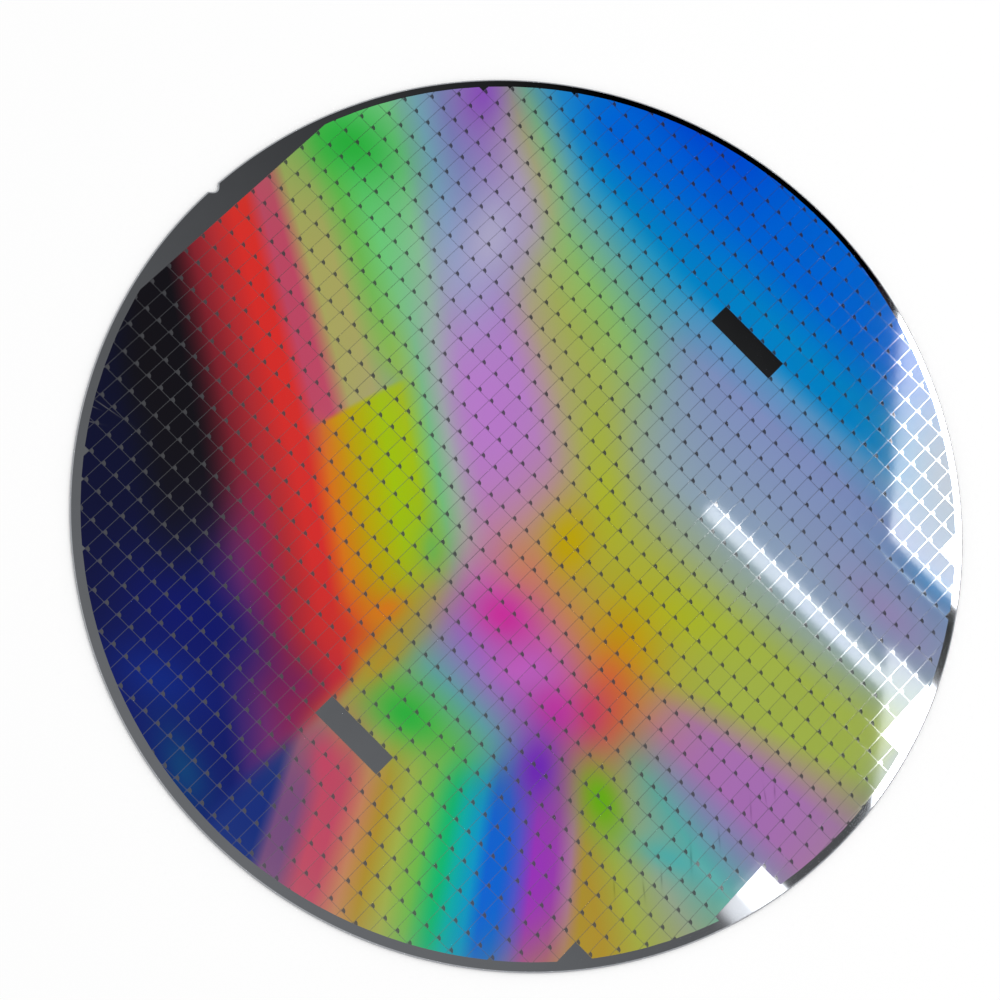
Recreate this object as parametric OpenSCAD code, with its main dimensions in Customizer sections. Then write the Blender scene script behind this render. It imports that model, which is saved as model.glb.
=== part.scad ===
// Patterned silicon wafer, 200 mm, with a V notch and a clear segment beside it.
// It lies flat: the origin is the centre of the back face, +Z runs out of the patterned
// face and the notch points along -Y.

/* [Wafer] */
// Diameter over the rim
wafer_d = 200; // [160:0.5:240]
// Thickness of the silicon, without the device layers
wafer_t = 0.725; // [0.6:0.005:0.9]
// Width of the ground edge, measured along the radius
edge_w = 0.35; // [0.25:0.01:0.5]
// Height of the flat bevel on each face
bevel_h = 0.13; // [0.08:0.01:0.16]
// Part of the edge width that belongs to the round shoulders
nose_w = 0.13; // [0.08:0.01:0.2]
// Height of the straight land around the rim
land_h = 0.16; // [0.1:0.01:0.24]

/* [Notch] */
// Depth from the rim to the lowest point
notch_depth = 1.1; // [0.8:0.05:1.35]
// Angle between the two flanks
notch_angle = 90; // [75:1:110]
// Radius at the bottom
notch_r = 1; // [0.7:0.05:1.2]

/* [Device layers] */
// Thickness of the layers that carry the dies
film_t = 0.01; // [0.005:0.001:0.03]
// Bare ring between the rim and the printed field
edge_clear = 2; // [1.5:0.1:5]
// Shift of the whole print across the notch axis
print_dx = -0.4; // [-0.8:0.1:0.8]

/* [Die grid] */
// Pitch of the dies along X, die and street together
pitch_x = 5.08; // [4.2:0.02:6.2]
// Pitch of the dies along Y, die and street together
pitch_y = 3.68; // [3:0.02:4.5]

/* [Clear areas] */
// Least depth of the clear segment at the notch, in from the rim to the next row line
segment_h = 6; // [3:0.5:20]
// Least depth of the two far clear blocks, in from the rim to the next row line
block_h = 9; // [6:0.5:20]
// Columns from the centre street to a far clear block
block_col = 4; // [2:1:6]
// Columns in each far clear block
block_cols = 3; // [1:1:4]
// Columns from the centre street to a test site, and to the clear corners
site_col = 12; // [9:1:13]
// Rows in each test site, counted up from the centre row
site_rows = 5; // [1:1:8]
// Least depth of the clear corners on the far side, in from the rim to the next row line
far_corner_h = 5.5; // [3:0.1:12]
// Least depth of the clear corners on the notch side, in from the rim to the next row line
near_corner_h = 2.8; // [2.5:0.1:12]

/* [Hidden] */
wafer_r = wafer_d / 2;
field_r = wafer_r - edge_clear;
sink = wafer_t / 4;    // how deep the film's solid reaches into the silicon
over = 1;              // how far a cutter stands past what it cuts
shoulder_steps = 5;
round_fn = 180;

// Street lines: columns are counted from the centre street, rows from the centre row.
function street_x(col) = col * pitch_x;
function street_y(row) = (row - 0.5) * pitch_y;

// Whole rows printed past the centre row, along x, before the line that is depth or more inside the rim
function rows_within(depth, x) =
    floor(sqrt(max(0, pow(wafer_r - depth, 2) - x * x)) / pitch_y - 0.5);

// One rounded shoulder of the edge, from the top of the lower bevel to the land
function shoulder() = let (rise = (wafer_t - land_h) / 2 - bevel_h)
    [for (k = [0:shoulder_steps]) let (a = 90 * k / shoulder_steps)
        [wafer_r - nose_w + nose_w * sin(a), bevel_h + rise * (1 - cos(a))]];

// Half of the wafer's section: a flat bevel and a shoulder on each face, with the land between
module section() {
    low = shoulder();
    high = [for (k = [shoulder_steps:-1:0]) [low[k][0], wafer_t - low[k][1]]];
    inner = wafer_r - edge_w;
    polygon(concat([[0, 0], [inner, 0]], low, high, [[inner, wafer_t], [0, wafer_t]]));
}

// The notch's V, with its flanks tangent to the round bottom
module notch() {
    half = notch_angle / 2;
    centre_y = notch_depth - wafer_r - notch_r;
    root = [notch_r * cos(half), centre_y + notch_r * sin(half)];
    mouth = root + 3 * notch_depth * [sin(half), -cos(half)];
    translate([0, 0, -over]) linear_extrude(wafer_t + 2 * over) {
        translate([0, centre_y]) circle(notch_r, $fn = round_fn);
        polygon([root, mouth, [-mouth[0], mouth[1]], [-root[0], root[1]]]);
    }
}

// A bare window in the film from column col and row row on, mirrored about the centre street
module clear_pair(col, row, width, height) {
    for (side = [0, 1])
        mirror([side, 0, 0])
            translate([street_x(col), street_y(row), wafer_t]) cube([width, height, over]);
}

// The device layers, sunk into the silicon so that both fuse into one solid
module film() {
    translate([print_dx, 0, 0])
        difference() {
            translate([0, 0, wafer_t - sink])
                cylinder(h = sink + film_t, r = field_r, $fn = round_fn);
            // clear segment at the notch
            translate([-wafer_r, -wafer_r, wafer_t])
                cube([wafer_d, wafer_r + street_y(-rows_within(segment_h, 0)), over]);
            // two clear blocks on the far side
            clear_pair(block_col, rows_within(block_h, 0) + 1, block_cols * pitch_x, wafer_r);
            // test sites beside the centre
            clear_pair(site_col, 0, pitch_x, site_rows * pitch_y);
            // clear corners on the far side, then on the notch side
            clear_pair(site_col, rows_within(far_corner_h, street_x(site_col)) + 1, wafer_r, wafer_r);
            mirror([0, 1, 0])
                clear_pair(site_col, rows_within(near_corner_h, street_x(site_col)) + 1, wafer_r, wafer_r);
        }
}

module wafer() {
    color([0.33, 0.34, 0.36])
        difference() {
            union() {
                rotate_extrude($fn = round_fn) section();
                film();
            }
            notch();
        }
}

wafer();
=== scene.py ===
import math

import bpy
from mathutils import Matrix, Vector
from mathutils.geometry import delaunay_2d_cdt


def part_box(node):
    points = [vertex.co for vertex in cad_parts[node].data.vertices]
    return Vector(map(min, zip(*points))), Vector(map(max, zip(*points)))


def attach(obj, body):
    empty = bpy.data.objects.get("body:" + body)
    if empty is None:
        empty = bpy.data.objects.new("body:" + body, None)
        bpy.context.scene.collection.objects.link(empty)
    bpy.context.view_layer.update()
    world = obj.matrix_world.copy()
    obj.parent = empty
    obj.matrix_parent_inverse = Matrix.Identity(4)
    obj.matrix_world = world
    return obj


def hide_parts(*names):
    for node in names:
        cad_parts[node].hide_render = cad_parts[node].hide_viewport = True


# Patterned silicon wafer, lying on a pale table with its printed face up.
# Lengths in the dictionaries are millimetres; the scene itself is in metres.

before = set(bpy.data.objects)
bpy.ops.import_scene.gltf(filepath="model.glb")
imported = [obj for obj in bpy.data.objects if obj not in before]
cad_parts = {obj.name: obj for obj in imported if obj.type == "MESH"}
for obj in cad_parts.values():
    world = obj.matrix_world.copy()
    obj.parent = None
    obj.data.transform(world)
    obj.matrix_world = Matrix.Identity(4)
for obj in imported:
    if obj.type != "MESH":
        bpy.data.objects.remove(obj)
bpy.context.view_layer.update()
waferLow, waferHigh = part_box("wafer")
mm = 0.001


# wafer body

wafer = {
    "radius": (waferHigh.x - waferLow.x) / 2 / mm,
    "thickness": 0.725,
    "edgeWidth": 0.35,
    "bevelHeight": 0.13,
    "noseWidth": 0.13,
    "landHeight": 0.16,
    "shoulderSteps": 5,
    "rimSteps": 480,
    "notchDepth": 1.1,
    "notchAngle": 90,
    "notchRadius": 1.0,
    "notchSteps": 72,
    "notchSpan": 2.2,       # half the finely stepped arc, in notch depths
    "notchNear": 0.9,       # cosine of the angle from the notch past which the rim is plain
}

dies = {
    "filmHeight": waferHigh.z / mm - wafer["thickness"],
    "edgeClear": 2.0,
    "printShift": -0.4,
    "pitchX": 5.08,
    "pitchY": 3.68,
    "street": 0.17,
    "cornerRadius": 0.26,
    "cornerSteps": 3,
    "bareCornerX": 0.78,    # each die's lower right corner is left bare
    "bareCornerY": 0.98,
    "segmentRow": -25,      # rows below this one are bare, beside the notch
    "blockRow": 25,         # the two far blocks start here
    "blockColumns": (4, 5, 6),
    "siteColumn": 12,
    "siteRows": range(0, 5),
    "farCornerRow": 20,
    "nearCornerRow": -20,
    "smallest": 0.25,       # a cut die with less area than this is dropped
}


def edgeProfile():
    # (inset from the rim, height) from the back flat round to the front flat
    rise = (wafer["thickness"] - wafer["landHeight"]) / 2 - wafer["bevelHeight"]
    low = []
    for k in range(wafer["shoulderSteps"] + 1):
        a = math.radians(90 * k / wafer["shoulderSteps"])
        inset = wafer["noseWidth"] * (1 - math.sin(a))
        low.append((inset, wafer["bevelHeight"] + rise * (1 - math.cos(a))))
    high = [(inset, wafer["thickness"] - z) for inset, z in reversed(low)]
    return [(wafer["edgeWidth"], 0.0)] + low + high + [(wafer["edgeWidth"], wafer["thickness"])]


def rimAngles():
    # even steps round the rim, and fine ones through the notch, which points along -Y
    notchHalf = math.degrees(wafer["notchSpan"] * wafer["notchDepth"] / wafer["radius"])
    even = [360 * k / wafer["rimSteps"] for k in range(wafer["rimSteps"])]
    angles = [a for a in even if abs(a - 270) > notchHalf]
    steps = wafer["notchSteps"]
    angles += [270 - notchHalf + 2 * notchHalf * k / steps for k in range(steps + 1)]
    return [math.radians(a) for a in sorted(angles)]


def rimRadius(angle, inset):
    # distance from the centre to the outline, drawn in by inset; the notch's walls move in with it
    plain = wafer["radius"] - inset
    away = math.cos(angle - math.radians(270))
    side = abs(math.sin(angle - math.radians(270)))
    if away < wafer["notchNear"]:
        return plain
    r = wafer["notchRadius"] + inset
    centre = wafer["radius"] - wafer["notchDepth"] + wafer["notchRadius"]
    reach = centre * away
    inside = r * r - (centre * side) ** 2
    half = math.radians(wafer["notchAngle"] / 2)
    tangentDepth = centre - r * math.sin(half)
    toCircle = reach - math.sqrt(inside) if inside > 0 else plain
    if inside > 0 and toCircle * away <= tangentDepth + 1e-9:
        return min(plain, toCircle)
    # a flank leaves the round bottom at its tangent and opens outwards
    gap = r * math.cos(half)
    slope = math.tan(half)
    # side * t = gap + (away * t - tangentDepth) * slope
    below = away * slope - side
    if below <= 1e-9:
        return plain
    t = (tangentDepth * slope - gap) / below
    return min(plain, t) if t > 0 else plain


def streetX(column):
    return column * dies["pitchX"] + dies["printShift"]


def streetY(row):
    return (row - 0.5) * dies["pitchY"]


def isBare(column, row):
    # counted outwards, so that both sides are alike
    out = column if column >= 0 else -1 - column
    if row < dies["segmentRow"]:
        return True
    if row >= dies["blockRow"] and out in dies["blockColumns"]:
        return True
    if out == dies["siteColumn"] and row in dies["siteRows"]:
        return True
    return out >= dies["siteColumn"] and (row >= dies["farCornerRow"] or row < dies["nearCornerRow"])


def bareCorner(x, y):
    # the edge that cuts off a die's lower right corner, which stands at x, y
    shares = ((1.0, 0.0), (0.9, 0.44), (0.66, 0.75), (0.36, 0.93), (0.0, 1.0))
    return [(x - across * dies["bareCornerX"], y + up * dies["bareCornerY"]) for across, up in shares]


def dieOutline(x0, y0, x1, y1):
    # rounded corners, except the bare one at the lower right, which is cut off
    r = dies["cornerRadius"]
    points = []
    for cx, cy, start in ((x1 - r, y1 - r, 0), (x0 + r, y1 - r, 90), (x0 + r, y0 + r, 180)):
        for k in range(dies["cornerSteps"] + 1):
            a = math.radians(start + 90 * k / dies["cornerSteps"])
            points.append((cx + r * math.cos(a), cy + r * math.sin(a)))
    return points + bareCorner(x1, y0)


def cutToField(points):
    # cuts a die where it crosses the edge of the printed field
    radius = wafer["radius"] - dies["edgeClear"]
    shift = dies["printShift"]

    def inside(p):
        return (p[0] - shift) ** 2 + p[1] ** 2 <= radius * radius

    if all(inside(p) for p in points):
        return points
    kept = []
    for here, after in zip(points, points[1:] + points[:1]):
        if inside(here):
            kept.append(here)
        if inside(here) != inside(after):
            near, far = (here, after) if inside(here) else (after, here)
            for _ in range(24):  # halve the gap down to the crossing
                middle = ((near[0] + far[0]) / 2, (near[1] + far[1]) / 2)
                if inside(middle):
                    near = middle
                else:
                    far = middle
            kept.append(near)
    return kept


def polygonArea(points):
    total = 0.0
    for (x0, y0), (x1, y1) in zip(points, points[1:] + points[:1]):
        total += x0 * y1 - x1 * y0
    return total / 2


def allDies():
    # for each die: its outline, its bare corner, and its cell out to the middle of the streets
    found = []
    columns = int(wafer["radius"] / dies["pitchX"]) + 2
    rows = int(wafer["radius"] / dies["pitchY"]) + 2
    half = dies["street"] / 2
    for column in range(-columns, columns):
        for row in range(-rows, rows):
            if isBare(column, row):
                continue
            left, right = streetX(column), streetX(column + 1)
            low, high = streetY(row), streetY(row + 1)
            outline = cutToField(dieOutline(left + half, low + half, right - half, high - half))
            if len(outline) < 3 or polygonArea(outline) < dies["smallest"]:
                continue
            corner = cutToField(bareCorner(right - half, low + half)[::-1] + [(right - half, low + half)])
            cell = cutToField([(left, low), (right, low), (right, high), (left, high)])
            found.append({"die": outline, "corner": corner, "street": cell})
    return found


# the kinds of surface, in the order of the mesh's material slots
slotOrder = ["clear", "die", "rim", "back", "street", "corner"]

# where each part of the surface lies on the bake map: its middle and its scale, in map widths
# to the millimetre; the ground edge is a ring round the field
mapLayout = {
    "field": (0.5, 0.5, 0.00468),
    "clear": (0.083, 0.917, 0.00078),
    "back": (0.917, 0.917, 0.00078),
    "rimInner": 0.474,
    "rimScale": 0.0155,
}


def buildWafer():
    top = wafer["thickness"]
    filmTop = top + dies["filmHeight"]
    angles = rimAngles()
    profile = edgeProfile()
    printed = allDies()

    # plan of the front: the wafer's outline, and inside it each die with its bare corner and streets
    plan = []
    for a in angles:
        r = rimRadius(a, wafer["edgeWidth"])
        plan.append(Vector((r * math.cos(a), r * math.sin(a))))
    planFaces = [list(range(len(plan)))]
    planKinds = ["clear"]
    for cell in printed:
        for kind, outline in cell.items():
            if len(outline) < 3:
                continue
            first = len(plan)
            plan += [Vector(p) for p in outline]
            planFaces.append(list(range(first, len(plan))))
            planKinds.append(kind)
    insideOnly, tolerance = 1, 1e-5
    laid, _, triangles, fromPlan, _, fromFaces = delaunay_2d_cdt(plan, [], planFaces, insideOnly, tolerance)
    placed = {}
    for index, origins in enumerate(fromPlan):
        for origin in origins:
            placed[origin] = index
    borders = {}  # what is left of each die's triangles once their shared sides are taken away
    for corners, origins in zip(triangles, fromFaces):
        for origin in origins:
            if planKinds[origin] == "die":
                sides = borders.setdefault(origin, set())
                for side in zip(corners, corners[1:] + corners[:1]):
                    if side[::-1] in sides:
                        sides.remove(side[::-1])
                    else:
                        sides.add(side)

    verts = [(p.x, p.y, top) for p in laid]
    faces, slots, smooth, uvs = [], [], [], []

    def addFace(corners, slot, isSmooth, places):
        faces.append(corners)
        slots.append(slot)
        smooth.append(isSmooth)
        uvs.extend(places)

    def planar(name, index):
        x, y, scale = mapLayout[name]
        return (x + verts[index][0] * scale, y + verts[index][1] * scale)

    # streets, bare corners, clear areas and the bare ring
    for corners, origins in zip(triangles, fromFaces):
        kinds = {planKinds[origin] for origin in origins}
        if "die" in kinds:
            continue
        kind = next(name for name in ("corner", "street", "clear") if name in kinds)
        area = "clear" if kind == "clear" else "field"
        addFace(tuple(corners), slotOrder.index(kind), False, [planar(area, c) for c in corners])

    # die tops, and the step down to the streets round each
    for sides in borders.values():
        following = dict(sides)
        low = [min(following)]
        while following[low[-1]] != low[0]:
            low.append(following[low[-1]])
        first = len(verts)
        verts.extend((verts[i][0], verts[i][1], filmTop) for i in low)
        high = list(range(first, len(verts)))
        addFace(tuple(high), slotOrder.index("die"), False, [planar("field", c) for c in high])
        for k in range(len(low)):
            n = (k + 1) % len(low)
            ring = (low[k], low[n], high[n], high[k])
            addFace(ring, slotOrder.index("die"), False, [planar("field", c) for c in ring])

    # ground edge, from the front flat round to the back flat
    rings = [[placed[i] for i in range(len(angles))]]
    along = [0.0]
    for (inset0, z0), (inset, z) in zip(profile[::-1], profile[-2::-1]):
        first = len(verts)
        for a in angles:
            r = rimRadius(a, inset)
            verts.append((r * math.cos(a), r * math.sin(a), z))
        rings.append(list(range(first, len(verts))))
        along.append(along[-1] + math.hypot(inset - inset0, z - z0))
    for level in range(len(rings) - 1):
        inner, outer = rings[level], rings[level + 1]
        r0 = mapLayout["rimInner"] + along[level] * mapLayout["rimScale"]
        r1 = mapLayout["rimInner"] + along[level + 1] * mapLayout["rimScale"]
        for k in range(len(angles)):
            n = (k + 1) % len(angles)
            places = [(0.5 + r * math.cos(angles[j]), 0.5 + r * math.sin(angles[j]))
                      for r, j in ((r0, k), (r1, k), (r1, n), (r0, n))]
            addFace((inner[k], outer[k], outer[n], inner[n]), slotOrder.index("rim"), True, places)

    # back, one flat face
    back = tuple(reversed(rings[-1]))
    addFace(back, slotOrder.index("back"), False, [planar("back", c) for c in back])

    mesh = bpy.data.meshes.new("patternedWafer")
    mesh.from_pydata([Vector(v) * mm for v in verts], [], faces)
    mesh.polygons.foreach_set("material_index", slots)
    mesh.polygons.foreach_set("use_smooth", smooth)
    layer = mesh.uv_layers.new(name="OFBake")
    layer.uv.foreach_set("vector", [value for place in uvs for value in place])
    mesh.update()
    obj = bpy.data.objects.new("patterned_wafer", mesh)
    bpy.context.scene.collection.objects.link(obj)
    triangleCount = sum(len(f) - 2 for f in faces)
    print("wafer:", len(printed), "dies,", triangleCount, "triangles")
    return obj


# node helpers

def addNode(tree, kind, **settings):
    node = tree.nodes.new(kind)
    for name, value in settings.items():
        setattr(node, name, value)
    return node


def plug(tree, socket, value):
    # a socket is linked, anything else is set on the input itself
    if isinstance(value, bpy.types.NodeSocket):
        tree.links.new(value, socket)
    else:
        socket.default_value = value


def mathNode(tree, operation, *values, clamp=False):
    node = addNode(tree, "ShaderNodeMath", operation=operation, use_clamp=clamp)
    for socket, value in zip(node.inputs, values):
        plug(tree, socket, value)
    return node.outputs[0]


def vectorMath(tree, operation, *values, scale=None):
    node = addNode(tree, "ShaderNodeVectorMath", operation=operation)
    for socket, value in zip(node.inputs, values):
        plug(tree, socket, value)
    if scale is not None:
        plug(tree, node.inputs["Scale"], scale)
    return node.outputs["Value"] if operation in ("DOT_PRODUCT", "LENGTH") else node.outputs["Vector"]


def smoothStep(tree, value, low, high, outLow=0.0, outHigh=1.0):
    node = addNode(tree, "ShaderNodeMapRange", interpolation_type="SMOOTHSTEP")
    plug(tree, node.inputs["Value"], value)
    plug(tree, node.inputs["From Min"], low)
    plug(tree, node.inputs["From Max"], high)
    plug(tree, node.inputs["To Min"], outLow)
    plug(tree, node.inputs["To Max"], outHigh)
    return node.outputs["Result"]


def newGroup(name, inputs, outputs):
    tree = bpy.data.node_groups.new(name, "ShaderNodeTree")
    for label, kind, value in inputs:
        socket = tree.interface.new_socket(label, in_out="INPUT", socket_type=kind)
        if value is not None:
            socket.default_value = value
    for label, kind in outputs:
        tree.interface.new_socket(label, in_out="OUTPUT", socket_type=kind)
    return tree, tree.nodes.new("NodeGroupInput"), tree.nodes.new("NodeGroupOutput")


def useGroup(tree, group, **values):
    node = addNode(tree, "ShaderNodeGroup", node_tree=group)
    for label, value in values.items():
        plug(tree, node.inputs[label], value)
    return node


def objectMillimetres(tree):
    # the wafer's own coordinates, in millimetres
    coords = addNode(tree, "ShaderNodeTexCoord")
    return vectorMath(tree, "SCALE", coords.outputs["Object"], scale=1 / mm)


def distanceGroup():
    # squared distance from a point to the line between two others
    tree, start, end = newGroup(
        "lineDistance",
        [("Position", "NodeSocketVector", None), ("From", "NodeSocketVector", None),
         ("To", "NodeSocketVector", None)],
        [("Squared", "NodeSocketFloat")],
    )
    reach = vectorMath(tree, "SUBTRACT", start.outputs["Position"], start.outputs["From"])
    run = vectorMath(tree, "SUBTRACT", start.outputs["To"], start.outputs["From"])
    along = mathNode(tree, "DIVIDE", vectorMath(tree, "DOT_PRODUCT", reach, run),
                     vectorMath(tree, "DOT_PRODUCT", run, run))
    along = mathNode(tree, "MAXIMUM", mathNode(tree, "MINIMUM", along, 1.0), 0.0)
    off = vectorMath(tree, "SUBTRACT", reach, vectorMath(tree, "SCALE", run, scale=along))
    plug(tree, end.inputs["Squared"], vectorMath(tree, "DOT_PRODUCT", off, off))
    return tree


lineDistance = distanceGroup()


# iridescent die film: the colours it throws are painted into its base colour as a fixed field

# the diffraction colours that the film throws under the room's light, painted as display colours from 0 to
# 255
hues = {
    "deepBlue": (0, 64, 206),
    "azure": (0, 98, 212),
    "tealBlue": (0, 128, 198),
    "aqua": (45, 150, 190),
    "paleBlue": (85, 145, 195),
    "steel": (75, 132, 182),
    "greyBlue": (125, 140, 190),
    "mist": (135, 158, 185),
    "frost": (160, 190, 220),
    "mint": (142, 192, 152),
    "windowGrey": (85, 106, 128),
    "iceBlue": (120, 150, 205),
    "paleLilac": (174, 166, 202),
    "periwinkle": (120, 120, 190),
    "seaGrey": (95, 165, 155),
    "sage": (130, 186, 98),
    "olive": (157, 175, 72),
    "khaki": (168, 164, 92),
    "mustard": (184, 164, 0),
    "chartreuse": (163, 183, 46),
    "tan": (192, 130, 90),
    "copper": (200, 105, 45),
    "lilac": (182, 118, 203),
    "orchid": (188, 98, 190),
    "mauve": (164, 106, 180),
    "heather": (146, 116, 186),
    "dusk": (168, 142, 168),
    "amethyst": (135, 80, 182),
    "slate": (120, 132, 175),
    "teal": (80, 168, 168),
    "stone": (142, 163, 145),
    "ochre": (172, 142, 45),
    "grass": (100, 168, 22),
    "green": (45, 172, 62),
    "leaf": (105, 185, 75),
    "lime": (158, 196, 0),
    "freshGreen": (95, 205, 108),
    "seaGreen": (8, 182, 112),
    "orange": (218, 118, 22),
    "red": (218, 46, 42),
    "darkRed": (180, 45, 50),
    "rose": (190, 70, 98),
    "crimson": (205, 62, 75),
    "magenta": (198, 48, 152),
    "maroon": (135, 35, 46),
    "plum": (120, 45, 105),
    "dimPlum": (112, 70, 124),
    "purple": (150, 45, 192),
    "violet": (110, 35, 185),
    "wisteria": (130, 112, 205),
    "thistle": (140, 132, 174),
    "violetBlue": (72, 82, 205),
    "cyan": (0, 150, 198),
    "lagoon": (0, 172, 165),
    "indigo": (72, 36, 108),
    "darkBlue": (8, 36, 122),
    "navy": (8, 20, 100),
    "deepTeal": (0, 62, 115),
    "ink": (6, 12, 46),
    "black": (17, 14, 21),
    "wine": (150, 38, 80),
}

# The fans and patches paint the film's diffraction colours, which are light thrown by the room's lamps and
# window, as a fixed colour.
# A fan is a run of hues spread between a first and a last line. Each line goes from its far end to the
# end nearer the notch, and each hue has its share of the way across. Its side says which part of the
# film it may colour: all of it, or the part beyond or nearer than one of the breaks.
fans = [
    {
        "side": "all",
        "first": ((-96, 92), (-95, -16)),
        "last": ((-16, 92), (-3, 14)),
        "hues": ((0, "azure"), (0.12, "azure"), (0.25, "tealBlue"), (0.31, "tealBlue"), (0.37, "paleBlue"),
                 (0.46, "greyBlue"), (0.74, "mist"), (0.85, "stone"), (0.95, "olive")),
    },
    {
        "side": "all",
        "first": ((-95, -18), (-88, -52)),
        "last": ((2, 8), (-31, -48)),
        "hues": ((0, "deepBlue"), (0.2, "azure"), (0.38, "tealBlue"), (0.45, "aqua"), (0.54, "seaGrey"),
                 (0.65, "sage"), (0.77, "olive"), (0.86, "khaki"), (0.97, "lilac")),
    },
    {
        "side": "all",
        "first": ((-61, -34), (-74, -62)),
        "last": ((-14, -44), (-42, -88)),
        "hues": ((0, "aqua"), (0.09, "seaGrey"), (0.19, "sage"), (0.28, "khaki"), (0.39, "dusk"),
                 (0.52, "heather"), (0.67, "periwinkle"), (0.82, "iceBlue"), (0.92, "mist"), (1, "mint")),
    },
    {
        "side": "aboveLedge",
        "first": ((12, 0), (-19, -43)),
        "last": ((98, 0), (68, -43)),
        "hues": ((0, "lilac"), (0.085, "mint"), (0.14, "freshGreen"), (0.21, "lime"), (0.28, "lime"),
                 (0.38, "mustard"), (0.47, "orange"), (0.53, "red"), (0.57, "red"), (0.64, "darkRed"),
                 (0.71, "wine"), (0.79, "plum"), (0.86, "indigo"), (0.92, "navy")),
    },
    {
        "side": "belowLedge",
        "first": ((-14, -46), (-37, -94)),
        "last": ((73, -46), (37, -94)),
        "hues": ((0, "freshGreen"), (0.07, "freshGreen"), (0.15, "leaf"), (0.24, "khaki"), (0.32, "khaki"),
                 (0.38, "rose"), (0.43, "rose"), (0.48, "red"), (0.53, "red"), (0.61, "darkRed"),
                 (0.69, "maroon"), (0.79, "black"), (0.9, "black"), (1, "ink")),
    },
    {
        "side": "far",
        "first": ((37, 53), (61, 73)),
        "last": ((72, -6), (100, 8)),
        "hues": ((0, "ochre"), (0.04, "mauve"), (0.09, "purple"), (0.155, "purple"), (0.2, "violetBlue"),
                 (0.25, "azure"), (0.29, "azure"), (0.33, "cyan"), (0.38, "lagoon"), (0.42, "seaGreen"),
                 (0.49, "leaf"), (0.56, "olive"), (0.63, "ochre"), (0.69, "tan"), (0.76, "rose"),
                 (0.81, "rose"), (0.87, "dimPlum"), (0.92, "dimPlum"), (0.96, "darkBlue")),
    },
    {
        "side": "far",
        "first": ((0, 34), (-4, 2)),
        "last": ((60, 30), (60, -1)),
        "hues": ((0, "olive"), (0.2, "tan"), (0.36, "orchid"), (0.54, "wisteria"), (0.7, "teal"),
                 (0.84, "leaf"), (1, "olive")),
    },
    {
        "side": "far",
        "first": ((-20, 96), (0, 50)),
        "last": ((62, 84), (42, 54)),
        "hues": ((0, "olive"), (0.1, "olive"), (0.26, "mauve"), (0.4, "mauve"), (0.5, "slate"),
                 (0.6, "teal"), (0.74, "stone"), (0.88, "olive"), (1, "ochre")),
    },
]

# soft patches of painted diffraction colour laid over the fans, some of them painted reflections of the
# window and lamp tube: hue, side, one end, the other end, reach
patches = [
    # painted reflection of the window
    ("windowGrey", "all", (-88, 48), (-62, 78), 17),
    ("windowGrey", "all", (-30, 98), (-12, 99), 6),
    # painted reflection of the lamp tube
    ("mist", "all", (-29, 36), (-30, 88), 3),
    # painted reflection of the window's near edge
    ("steel", "all", (-55, 86), (-54, 66), 4),
    # a painted streak of light
    ("frost", "all", (-51.3, 84), (-51.3, 62), 0.5),
    ("olive", "all", (-14, 8), (-32, -12), 7),
    ("chartreuse", "all", (-20, 1), (-6, 20), 6),
    ("chartreuse", "all", (-3, 31), (-10, 48), 7),
    ("thistle", "all", (-42, 84), (-42, 62), 7),
    ("lilac", "all", (0, -6), (-16, -33), 12),
    ("paleLilac", "all", (-30, -46), (-46, -54), 11),
    ("azure", "all", (-78, -52), (-80, -38), 10),
    ("amethyst", "all", (-57, -72), (-64, -78), 8),
    ("green", "all", (-31, -82), (-28, -92), 12),
    ("leaf", "aboveLedge", (25, -6), (20, -12), 4),
    ("red", "aboveLedge", (47, -9), (53, -15), 7),
    ("orange", "aboveLedge", (37, -6), (42, -8), 4),
    ("wine", "near", (63, -7), (67, -11), 5),
    ("black", "near", (45, -66), (34, -88), 10),
    ("ink", "near", (62, -70), (72, -62), 8),
    ("navy", "near", (68, -24), (72, -44), 12),
    ("darkBlue", "near", (82, -24), (86, -36), 8),
    ("deepTeal", "near", (96, -6), (91, -20), 6),
    ("mustard", "far", (4, 32), (11, 38), 12),
    ("mustard", "far", (-3, 9), (3, 13), 8),
    ("orange", "far", (13, 36), (18, 42), 5),
    ("tan", "far", (9, 7), (12, 11), 6),
    ("copper", "far", (15, 40), (25, 46), 8),
    ("crimson", "far", (22, 39), (25, 42), 6),
    ("magenta", "far", (29, 38), (27, 31), 8),
    ("orchid", "far", (24, 26), (29, 21), 7),
    ("magenta", "far", (21, 14), (22, 10), 8),
    ("violet", "far", (37, 38), (43, 43), 7),
    ("teal", "far", (36, 67), (30, 82), 4),
    ("grass", "far", (33, 51), (37, 59), 6),
    ("green", "far", (51, 16), (53, 8), 7),
    ("ochre", "far", (38, 0), (57, 0), 4),
    ("rose", "far", (69, 3), (75, 12), 5),
]

# lines that the hues jump across: height at x = 0, slope, softness, and where along x they set in and end
breaks = {
    "street": {"height": -1.84, "slope": 0.0, "softness": 3.0, "from": (36, 58), "to": (200, 210)},
    "ledge": {"height": -40.1, "slope": -0.29, "softness": 0.9, "from": (-6, 3), "to": (17, 27)},
}

blending = {
    "fanSoftness": 0.35,
    "fanFalloff": 2.5,
    "patchFalloff": 2.0,
    "leastWidth": 1.0,
    "displayGamma": 2.2,
}


def displayColour(hue):
    return (*[part / 255 for part in hues[hue]], 1.0)


def lineWeights(first, last, inside):
    # weights of (x, y, 1) that give the distance from a line, positive on the inside
    run = Vector(last) - Vector(first)
    normal = Vector((-run.y, run.x)).normalized()
    offset = -normal.dot(Vector(first))
    turn = 1.0 if normal.dot(inside) + offset > 0 else -1.0
    return Vector((normal.x, normal.y, offset)) * turn


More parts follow.
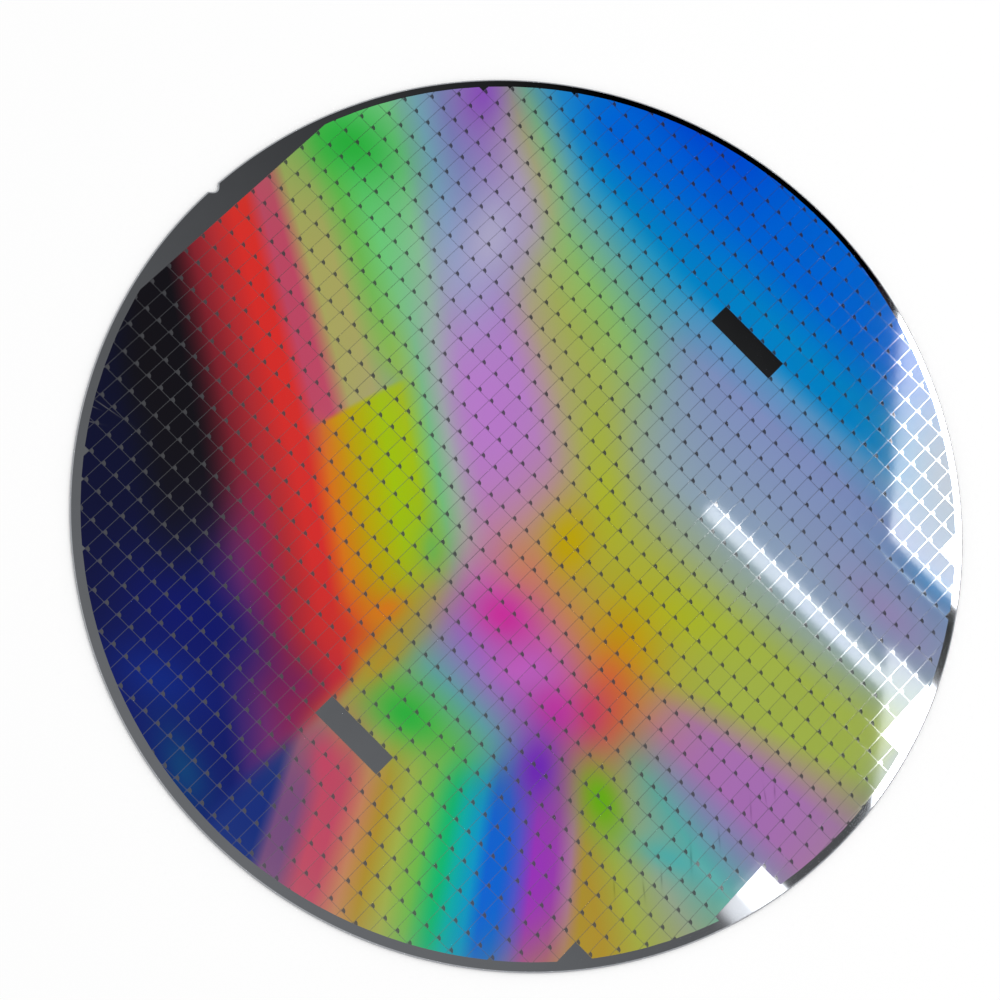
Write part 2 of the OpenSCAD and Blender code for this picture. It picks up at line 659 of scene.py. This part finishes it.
def fanGroup():
    # how far across a fan a point lies, and how strongly the fan counts there
    tree, start, end = newGroup(
        "hueFan",
        [("Position", "NodeSocketVector", None), ("First Line", "NodeSocketVector", None),
         ("Both Lines", "NodeSocketVector", None), ("Far End", "NodeSocketVector", None),
         ("Both Ends", "NodeSocketVector", None), ("Side", "NodeSocketFloat", 1.0)],
        [("Across", "NodeSocketFloat"), ("Weight", "NodeSocketFloat")],
    )
    position = start.outputs["Position"]
    spread = blending["fanSoftness"]
    for output, part, whole in (("Across", "First Line", "Both Lines"), (None, "Far End", "Both Ends")):
        width = vectorMath(tree, "DOT_PRODUCT", position, start.outputs[whole])
        width = mathNode(tree, "MAXIMUM", width, blending["leastWidth"])
        fromLine = vectorMath(tree, "DOT_PRODUCT", position, start.outputs[part])
        share = mathNode(tree, "DIVIDE", fromLine, width)
        fromMiddle = mathNode(tree, "MULTIPLY_ADD", share, 2.0, -1.0)
        spread = mathNode(tree, "MULTIPLY_ADD", fromMiddle, fromMiddle, spread)
        if output:
            plug(tree, end.inputs[output], share)
    weight = mathNode(tree, "POWER", spread, -blending["fanFalloff"])
    plug(tree, end.inputs["Weight"], mathNode(tree, "MULTIPLY", weight, start.outputs["Side"]))
    return tree


def patchGroup():
    # a soft oval, strongest in the middle
    tree, start, end = newGroup(
        "softOval",
        [("Position", "NodeSocketVector", None), ("Lengthwise", "NodeSocketVector", None),
         ("Crosswise", "NodeSocketVector", None), ("Side", "NodeSocketFloat", 1.0)],
        [("Mask", "NodeSocketFloat")],
    )
    spread = 1.0
    for label in ("Lengthwise", "Crosswise"):
        away = vectorMath(tree, "DOT_PRODUCT", start.outputs["Position"], start.outputs[label])
        spread = mathNode(tree, "MULTIPLY_ADD", away, away, spread)
    mask = mathNode(tree, "POWER", spread, -blending["patchFalloff"])
    plug(tree, end.inputs["Mask"], mathNode(tree, "MULTIPLY", mask, start.outputs["Side"]))
    return tree


softOval = patchGroup()


def addOval(tree, position, first, last, reach, side=1.0):
    # an oval round the line from first to last; position is (x, y, 1)
    run = Vector(last) - Vector(first)
    middle = (Vector(last) + Vector(first)) / 2
    along = run.normalized() / (run.length / 2 + reach)
    across = Vector((-run.y, run.x)).normalized() / reach
    node = useGroup(tree, softOval, Position=position, Lengthwise=(along.x, along.y, -along.dot(middle)),
                    Crosswise=(across.x, across.y, -across.dot(middle)), Side=side)
    return node.outputs["Mask"]


def breakFades(tree, x, y, line):
    # what is left of the hues beyond a break, and of those nearer than it
    level = mathNode(tree, "MULTIPLY_ADD", x, line["slope"], line["height"])
    beyond = smoothStep(tree, mathNode(tree, "SUBTRACT", y, level), -line["softness"], line["softness"])
    nearer = mathNode(tree, "SUBTRACT", 1.0, beyond)
    strength = mathNode(tree, "MULTIPLY", smoothStep(tree, x, *line["from"], 0.0, -1.0),
                        smoothStep(tree, x, *line["to"], 1.0, 0.0))
    return (mathNode(tree, "MULTIPLY_ADD", strength, nearer, 1.0),
            mathNode(tree, "MULTIPLY_ADD", strength, beyond, 1.0))


def hueRamp(tree, across, stops):
    node = addNode(tree, "ShaderNodeValToRGB")
    elements = node.color_ramp.elements
    while len(elements) < len(stops):
        elements.new(1.0)
    for element, (place, hue) in zip(elements, stops):
        element.position = place
    for element, (place, hue) in zip(elements, stops):
        element.color = displayColour(hue)
    plug(tree, node.inputs[0], across)
    return node.outputs[0]


def blend(tree, factor, below, above):
    # a Mix node has its colour sockets at places 6, 7 and 2
    node = addNode(tree, "ShaderNodeMix", data_type="RGBA")
    plug(tree, node.inputs[0], factor)
    plug(tree, node.inputs[6], below)
    plug(tree, node.inputs[7], above)
    return node.outputs[2]


def paintedIridescenceGroup():
    # the painted diffraction colours that the fine circuits throw: the fans blended together, then the
    # patches over them
    tree, start, end = newGroup(
        "paintedIridescence",
        [("Position", "NodeSocketVector", None)],
        [("Colour", "NodeSocketColor")],
    )
    split = addNode(tree, "ShaderNodeSeparateXYZ")
    plug(tree, split.inputs[0], start.outputs["Position"])
    place = addNode(tree, "ShaderNodeCombineXYZ")
    plug(tree, place.inputs["X"], split.outputs["X"])
    plug(tree, place.inputs["Y"], split.outputs["Y"])
    plug(tree, place.inputs["Z"], 1.0)
    position = place.outputs[0]

    far, near = breakFades(tree, split.outputs["X"], split.outputs["Y"], breaks["street"])
    above, below = breakFades(tree, split.outputs["X"], split.outputs["Y"], breaks["ledge"])
    sides = {
        "all": 1.0,
        "far": far,
        "near": near,
        "aboveLedge": mathNode(tree, "MULTIPLY", near, above),
        "belowLedge": mathNode(tree, "MULTIPLY", near, below),
    }

    colour, total = None, None
    fan = fanGroup()
    for look in fans:
        (a0, a1), (b0, b1) = look["first"], look["last"]
        inside = (Vector(a0) + Vector(a1) + Vector(b0) + Vector(b1)) / 4
        firstLine, lastLine = lineWeights(a0, a1, inside), lineWeights(b0, b1, inside)
        farEnd, nearEnd = lineWeights(a0, b0, inside), lineWeights(a1, b1, inside)
        node = useGroup(tree, fan, **{
            "Position": position, "First Line": firstLine, "Both Lines": firstLine + lastLine,
            "Far End": farEnd, "Both Ends": farEnd + nearEnd, "Side": sides[look["side"]],
        })
        ramp = hueRamp(tree, node.outputs["Across"], look["hues"])
        weight = node.outputs["Weight"]
        if colour is None:
            colour, total = ramp, weight
        else:
            total = mathNode(tree, "ADD", total, weight)
            colour = blend(tree, mathNode(tree, "DIVIDE", weight, total), colour, ramp)

    for hue, side, first, last, reach in patches:
        mask = addOval(tree, position, first, last, reach, sides[side])
        colour = blend(tree, mask, colour, displayColour(hue))

    gamma = addNode(tree, "ShaderNodeGamma")
    plug(tree, gamma.inputs["Color"], colour)
    plug(tree, gamma.inputs["Gamma"], blending["displayGamma"])
    plug(tree, end.inputs["Colour"], gamma.outputs[0])
    return tree


# wear and residue shared by the film and the bare silicon

wear = {
    # short dark scratches across the film: one end, the other end, half width
    "scratches": [
        ((5.0, 80.2), (7.0, 82.2), 0.20),
        ((7.4, 79.2), (9.2, 81.6), 0.15),
        ((11.5, 78.8), (14.4, 81.8), 0.17),
        ((21.2, 78.0), (23.5, 80.6), 0.20),
        ((28.2, 76.0), (31.7, 79.6), 0.26),
        ((36.7, 75.0), (38.8, 77.2), 0.20),
        ((41.0, 73.5), (43.4, 76.4), 0.20),
        ((45.2, 68.6), (47.8, 71.4), 0.15),
    ],
    "paleScratches": [
        ((50.8, -76.6), (52.1, -83.3), 0.10),
        ((55.2, -78.6), (56.4, -80.4), 0.10),
        ((53.0, -81.0), (53.6, -82.6), 0.08),
    ],
    "smudgeDetail": 4.0,
    "smudgeDistortion": 0.6,
    "smudgeRange": (0.46, 0.72),
    # size and seed of the smudges
    "siliconSmudges": (30.0, 7.0),
    "filmSmudges": (45.0, 3.0),
    "scribeSmudges": (12.0, 5.0),
}


def scratchMask(tree, position, scratches):
    total = 0.0
    for first, last, width in scratches:
        total = mathNode(tree, "MAXIMUM", total, addOval(tree, position, first, last, width))
    return total


def wearGroup():
    # smudges left by handling
    tree, start, end = newGroup(
        "handlingWear",
        [("Position", "NodeSocketVector", None), ("Smudge Size", "NodeSocketFloat", 40.0),
         ("Seed", "NodeSocketFloat", 0.0)],
        [("Smudge", "NodeSocketFloat")],
    )
    flat = vectorMath(tree, "MULTIPLY", start.outputs["Position"], (1.0, 1.0, 0.0))
    offset = addNode(tree, "ShaderNodeCombineXYZ")
    plug(tree, offset.inputs["Z"], start.outputs["Seed"])
    spot = vectorMath(tree, "ADD", flat, offset.outputs[0])
    cloud = addNode(tree, "ShaderNodeTexNoise")
    plug(tree, cloud.inputs["Vector"], spot)
    plug(tree, cloud.inputs["Scale"], mathNode(tree, "DIVIDE", 1.0, start.outputs["Smudge Size"]))
    plug(tree, cloud.inputs["Detail"], wear["smudgeDetail"])
    plug(tree, cloud.inputs["Distortion"], wear["smudgeDistortion"])
    plug(tree, end.inputs["Smudge"], smoothStep(tree, cloud.outputs[0], *wear["smudgeRange"]))
    return tree


handlingWear = wearGroup()


def addSmudges(tree, position, kind):
    size, seed = wear[kind]
    node = useGroup(tree, handlingWear, **{"Position": position, "Smudge Size": size, "Seed": seed})
    return node.outputs["Smudge"]


siliconTone = (0.36, 0.37, 0.39, 1)
siliconChange = {
    "grainDetail": 5.0,
    "grainRoughness": 0.6,
    "broadScale": 0.03,         # slow change of tone over the whole face
    "broadDetail": 2.0,
    "smudgeTone": -0.04,
    "smudgeRoughness": 0.02,
    "bumpHeight": 0.02,
}


def siliconGroup():
    # fine finish of bare silicon: tone, roughness and height for polished, ground and etched faces
    tree, start, end = newGroup(
        "siliconFinish",
        [("Position", "NodeSocketVector", None), ("Grain Size", "NodeSocketFloat", 1.0),
         ("Tone", "NodeSocketColor", siliconTone), ("Tone Change", "NodeSocketFloat", 0.05),
         ("Roughness", "NodeSocketFloat", 0.05), ("Roughness Change", "NodeSocketFloat", 0.02),
         ("Smudge", "NodeSocketFloat", 0.0)],
        [("Colour", "NodeSocketColor"), ("Roughness", "NodeSocketFloat"), ("Height", "NodeSocketFloat")],
    )
    grain = addNode(tree, "ShaderNodeTexNoise")
    plug(tree, grain.inputs["Vector"], start.outputs["Position"])
    plug(tree, grain.inputs["Scale"], mathNode(tree, "DIVIDE", 1.0, start.outputs["Grain Size"]))
    plug(tree, grain.inputs["Detail"], siliconChange["grainDetail"])
    plug(tree, grain.inputs["Roughness"], siliconChange["grainRoughness"])
    broad = addNode(tree, "ShaderNodeTexNoise")
    plug(tree, broad.inputs["Vector"], start.outputs["Position"])
    plug(tree, broad.inputs["Scale"], siliconChange["broadScale"])
    plug(tree, broad.inputs["Detail"], siliconChange["broadDetail"])
    swing = mathNode(tree, "SUBTRACT", mathNode(tree, "ADD", grain.outputs[0], broad.outputs[0]), 1.0)
    change = mathNode(tree, "MULTIPLY_ADD", swing, start.outputs["Tone Change"], 1.0)
    smudge = start.outputs["Smudge"]
    dulled = mathNode(tree, "MULTIPLY_ADD", smudge, siliconChange["smudgeTone"], change)
    plug(tree, end.inputs["Colour"], vectorMath(tree, "SCALE", start.outputs["Tone"], scale=dulled))
    rough = mathNode(tree, "MULTIPLY_ADD", swing, start.outputs["Roughness Change"],
                     start.outputs["Roughness"])
    rough = mathNode(tree, "MULTIPLY_ADD", smudge, siliconChange["smudgeRoughness"], rough, clamp=True)
    plug(tree, end.inputs["Roughness"], rough)
    plug(tree, end.inputs["Height"], grain.outputs[0])
    return tree


def newMaterial(name):
    material = bpy.data.materials.new(name)
    material.use_nodes = True
    tree = material.node_tree
    shader = tree.nodes["Principled BSDF"]
    return material, tree, shader


siliconFinish = siliconGroup()
paintedIridescence = paintedIridescenceGroup()

finishes = {
    "polishedSilicon": {
        "grain": 3.0,
        "toneChange": 0.05,
        "roughness": 0.03,
        "roughnessChange": 0.02,
        "bump": 0.0,
    },
    "groundEdge": {
        "grain": 0.12,
        "toneChange": 0.16,
        "roughness": 0.26,
        "roughnessChange": 0.12,
        "bump": 0.15,
    },
    "etchedBack": {
        "grain": 0.5,
        "toneChange": 0.14,
        "roughness": 0.3,
        "roughnessChange": 0.1,
        "bump": 0.12,
    },
}


def siliconMaterial(name):
    look = finishes[name]
    material, tree, shader = newMaterial(name)
    position = objectMillimetres(tree)
    finish = useGroup(tree, siliconFinish, **{
        "Position": position, "Grain Size": look["grain"], "Tone": siliconTone,
        "Tone Change": look["toneChange"], "Roughness": look["roughness"],
        "Roughness Change": look["roughnessChange"], "Smudge": addSmudges(tree, position, "siliconSmudges"),
    })
    plug(tree, shader.inputs["Base Color"], finish.outputs["Colour"])
    plug(tree, shader.inputs["Roughness"], finish.outputs["Roughness"])
    shader.inputs["Metallic"].default_value = 1.0
    if look["bump"]:
        bump = addNode(tree, "ShaderNodeBump")
        bump.inputs["Strength"].default_value = look["bump"]
        bump.inputs["Distance"].default_value = siliconChange["bumpHeight"] * mm
        plug(tree, bump.inputs["Height"], finish.outputs["Height"])
        plug(tree, shader.inputs["Normal"], bump.outputs["Normal"])
    return material


film = {
    "roughness": 0.035,
    "smudgeRoughness": 0.03,
    "refraction": 1.35,
    "dieChange": 0.05,      # how much one die's tone differs from the next
    "scratchTone": 0.62,
    "paleTone": (0.10, 0.10, 0.11, 1),
}


def filmMaterial():
    material, tree, shader = newMaterial("dieFilm")
    position = objectMillimetres(tree)
    # the film's base colour is its painted diffraction colour field
    colour = useGroup(tree, paintedIridescence, Position=position).outputs["Colour"]
    smudge = addSmudges(tree, position, "filmSmudges")

    # each die a touch lighter or darker than the next
    cell = vectorMath(tree, "ADD", position, (-dies["printShift"], dies["pitchY"] / 2, 0.0))
    cell = vectorMath(tree, "DIVIDE", cell, (dies["pitchX"], dies["pitchY"], 1e6))
    noise = addNode(tree, "ShaderNodeTexWhiteNoise", noise_dimensions="2D")
    plug(tree, noise.inputs["Vector"], vectorMath(tree, "FLOOR", cell))
    tone = mathNode(tree, "MULTIPLY_ADD", noise.outputs[0], film["dieChange"], 1 - film["dieChange"] / 2)
    flat = vectorMath(tree, "MULTIPLY_ADD", position, (1.0, 1.0, 0.0), (0.0, 0.0, 1.0))
    scratch = scratchMask(tree, flat, wear["scratches"])
    scratched = mathNode(tree, "MULTIPLY_ADD", scratch, film["scratchTone"] - 1, 1.0)
    tone = mathNode(tree, "MULTIPLY", tone, scratched)
    shaded = vectorMath(tree, "SCALE", colour, scale=tone)
    worn = blend(tree, scratchMask(tree, flat, wear["paleScratches"]), shaded, film["paleTone"])
    plug(tree, shader.inputs["Base Color"], worn)
    rough = mathNode(tree, "MULTIPLY_ADD", smudge, film["smudgeRoughness"], film["roughness"])
    plug(tree, shader.inputs["Roughness"], rough)
    shader.inputs["IOR"].default_value = film["refraction"]
    return material


# streets and bare corners: their own dark tone with part of the film's painted diffraction colours over it;
# missing says how much of those colours is left out
scribes = {
    "scribeStreets": {
        "tone": (0.045, 0.048, 0.056, 1),
        "missing": 0.33,
        "missingChange": 0.2,
        "roughness": 0.06,
        "refraction": 2.1,
    },
    "bareCorners": {
        "tone": (0.026, 0.027, 0.033, 1),
        "missing": 0.86,
        "missingChange": 0.06,
        "roughness": 0.03,
        "refraction": 2.3,
    },
}


def scribeMaterial(name):
    look = scribes[name]
    material, tree, shader = newMaterial(name)
    position = objectMillimetres(tree)
    # part of the painted diffraction colours shows in the streets and on the corners
    colour = useGroup(tree, paintedIridescence, Position=position).outputs["Colour"]
    smudge = addSmudges(tree, position, "scribeSmudges")
    missing = mathNode(tree, "MULTIPLY_ADD", smudge, look["missingChange"], look["missing"])
    plug(tree, shader.inputs["Base Color"], blend(tree, missing, colour, look["tone"]))
    rough = mathNode(tree, "MULTIPLY_ADD", smudge, film["smudgeRoughness"], look["roughness"])
    plug(tree, shader.inputs["Roughness"], rough)
    shader.inputs["IOR"].default_value = look["refraction"]
    return material


patternedWafer = buildWafer()
# one for each name in slotOrder
for made in (
    siliconMaterial("polishedSilicon"),
    filmMaterial(),
    siliconMaterial("groundEdge"),
    siliconMaterial("etchedBack"),
    scribeMaterial("scribeStreets"),
    scribeMaterial("bareCorners"),
):
    patternedWafer.data.materials.append(made)
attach(patternedWafer, "root")
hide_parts("wafer")
print("materials:", ", ".join(m.name for m in patternedWafer.data.materials))


# camera
view = {
    "place": (135.7, -0.5, 476.8),
    "turn": (11.09, -10.70, 134.25),    # degrees
    "lens": 81.0,
    "sensor": 36.0,
    "shift": (-0.0098, 0.0172),
    "clip": (10, 20000),
}


def addCamera():
    data = bpy.data.cameras.new("camera")
    data.lens = view["lens"]
    data.sensor_width = view["sensor"]
    data.shift_x, data.shift_y = view["shift"]
    data.clip_start, data.clip_end = [distance * mm for distance in view["clip"]]
    data.dof.use_dof = False
    camera = bpy.data.objects.new("camera", data)
    camera.location = Vector(view["place"]) * mm
    camera.rotation_euler = [math.radians(a) for a in view["turn"]]
    bpy.context.scene.collection.objects.link(camera)
    bpy.context.scene.camera = camera


# room: a dim ceiling with a window and a lamp tube, which only the polished faces mirror
room = {
    "ceilingHeight": view["place"][2],      # level with the camera, which mirrored() relies on
    "ceilingSpan": (-420, -300, 160, 300),
    "ceilingColour": (0.97, 0.985, 1.0, 1),
    "glowSpan": (-100, 100),        # where across the wafer the ceiling's glow starts and stops rising
    "glow": (-0.04, 0.385),         # its level there; below 0 is dark
    "floorHalf": 4000,
    "floorDrop": 0.02,
    "floorRoughness": 0.9,
    "worldShare": 0.9,
    "lampShare": 0.12,
    "lampSize": 1000,
    "lampDistance": 1500,
    "lampDirection": (-0.35, 0.3, 1.0),
}

# What the ceiling shows, laid out as it is mirrored on the wafer. A block of light lies on the left
# of each of its edges, and a bar of light lies along a line.
lightBlocks = [
    # the window at the left, and what shows of it beyond the lamp tube's far end
    {"level": 22.0, "softness": 1.0, "edges": [((-96, 28), (-54, 62.5)), ((-55, 50), (-55, 80))]},
    {"level": 22.0, "softness": 2.0, "edges": [((-27.5, 84.6), (-10, 98)), ((-36.5, 120), (-36.5, 60))]},
    # two small bright places at the far edge
    {"level": 5.0, "softness": 1.0,
     "edges": [((19.5, 100), (19.5, 0)), ((28.3, 0), (28.3, 100)), ((0, 89), (100, 89))]},
    {"level": 2.2, "softness": 3.0,
     "edges": [((28, 100), (28, 0)), ((33.5, 0), (33.5, 100)), ((0, 89), (100, 89))]},
]
lightBars = [
    # the lamp tube, and a faint streak below the two bright places
    {"level": 20.0, "softness": 1.6, "halfWidth": 1.9, "line": ((-29.3, 29), (-30.3, 96))},
    {"level": 1.6, "softness": 3.0, "halfWidth": 1.2, "line": ((29.8, 80), (29.8, 89))},
]


def mirrored(x, y):
    # the ceiling point that the camera sees reflected at x, y on the wafer
    return (2 * x - view["place"][0], 2 * y - view["place"][1], 0.0)


def edgeGlow(tree, position, first, last, softness):
    # 1 on the left of the line from first to last, 0 on its right, both as seen on the wafer
    (x0, y0, _), (x1, y1, _) = mirrored(*first), mirrored(*last)
    length = math.hypot(x1 - x0, y1 - y0)
    normal = ((y0 - y1) / length, (x1 - x0) / length, 0.0)
    away = vectorMath(tree, "DOT_PRODUCT", vectorMath(tree, "SUBTRACT", position, (x0, y0, 0.0)), normal)
    return smoothStep(tree, away, -softness, softness)


def blockGlow(tree, position, look):
    total = None
    for first, last in look["edges"]:
        glow = edgeGlow(tree, position, first, last, look["softness"])
        total = glow if total is None else mathNode(tree, "MULTIPLY", total, glow)
    return mathNode(tree, "MULTIPLY", total, look["level"])


def barGlow(tree, position, look):
    first, last = look["line"]
    line = useGroup(tree, lineDistance, Position=position, From=mirrored(*first), To=mirrored(*last))
    distance = mathNode(tree, "SQRT", line.outputs["Squared"])
    half = 2 * look["halfWidth"]    # the ceiling's picture is twice the size
    glow = smoothStep(tree, distance, half + look["softness"], half - look["softness"])
    return mathNode(tree, "MULTIPLY", glow, look["level"])


def ceilingMaterial():
    material = bpy.data.materials.new("ceiling")
    material.use_nodes = True
    tree = material.node_tree
    tree.nodes.clear()
    coords = addNode(tree, "ShaderNodeTexCoord")
    position = vectorMath(tree, "MULTIPLY", coords.outputs["Object"], (1 / mm, 1 / mm, 0.0))
    split = addNode(tree, "ShaderNodeSeparateXYZ")
    plug(tree, split.inputs[0], position)
    node = addNode(tree, "ShaderNodeMapRange")
    plug(tree, node.inputs["Value"], split.outputs["X"])
    for label, x in zip(("From Min", "From Max"), room["glowSpan"]):
        plug(tree, node.inputs[label], mirrored(x, 0)[0])
    for label, level in zip(("To Min", "To Max"), room["glow"]):
        plug(tree, node.inputs[label], level)
    strength = node.outputs["Result"]
    lights = [blockGlow(tree, position, look) for look in lightBlocks]
    lights += [barGlow(tree, position, look) for look in lightBars]
    for light in lights:
        strength = mathNode(tree, "MAXIMUM", strength, light)
    glow = addNode(tree, "ShaderNodeEmission")
    glow.inputs["Color"].default_value = room["ceilingColour"]
    plug(tree, glow.inputs["Strength"], strength)
    out = addNode(tree, "ShaderNodeOutputMaterial")
    plug(tree, out.inputs["Surface"], glow.outputs[0])
    material.cycles.emission_sampling = "NONE"
    return material


def flatPlane(name, x0, y0, x1, y1, z):
    mesh = bpy.data.meshes.new(name)
    corners = [(x0, y0, z), (x1, y0, z), (x1, y1, z), (x0, y1, z)]
    mesh.from_pydata([Vector(c) * mm for c in corners], [], [(0, 1, 2, 3)])
    obj = bpy.data.objects.new(name, mesh)
    bpy.context.scene.collection.objects.link(obj)
    return obj


def addRoom():
    ceiling = flatPlane("ceiling", *room["ceilingSpan"], room["ceilingHeight"])
    ceiling.data.materials.append(ceilingMaterial())
    ceiling.visible_camera = False
    ceiling.visible_diffuse = False
    ceiling.visible_shadow = False
    ceiling.visible_transmission = False

    half = room["floorHalf"]
    floor = flatPlane("floor", -half, -half, half, half, -room["floorDrop"])
    floorMaterial, tree, shader = newMaterial("paleTable")
    shader.inputs["Base Color"].default_value = (1.0, 1.0, 1.0, 1)
    shader.inputs["Roughness"].default_value = room["floorRoughness"]
    shader.inputs["Specular IOR Level"].default_value = 0.0
    floor.data.materials.append(floorMaterial)

    world = bpy.data.worlds.new("room")
    world.use_nodes = True
    tree = world.node_tree
    path = addNode(tree, "ShaderNodeLightPath")
    seen = mathNode(tree, "MAXIMUM", path.outputs["Is Camera Ray"], path.outputs["Is Glossy Ray"])
    seen = mathNode(tree, "MAXIMUM", seen, path.outputs["Is Transmission Ray"])
    level = mathNode(tree, "MULTIPLY_ADD", seen, 1 - room["worldShare"], room["worldShare"])
    plug(tree, tree.nodes["Background"].inputs["Strength"], level)
    tree.nodes["Background"].inputs["Color"].default_value = (1, 1, 1, 1)
    bpy.context.scene.world = world

    data = bpy.data.lights.new("softbox", "AREA")
    data.shape = "SQUARE"
    data.size = room["lampSize"] * mm
    distance = room["lampDistance"] * mm
    # an area lamp of power P lights what it faces about as P / (pi * pi * distance squared)
    data.energy = room["lampShare"] * math.pi * math.pi * distance * distance
    lamp = bpy.data.objects.new("softbox", data)
    direction = Vector(room["lampDirection"]).normalized()
    lamp.location = direction * distance
    lamp.rotation_euler = direction.to_track_quat("Z", "Y").to_euler()
    lamp.visible_glossy = False
    bpy.context.scene.collection.objects.link(lamp)


addCamera()
addRoom()
bpy.context.scene.view_settings.view_transform = "Standard"
print("camera and room in place")
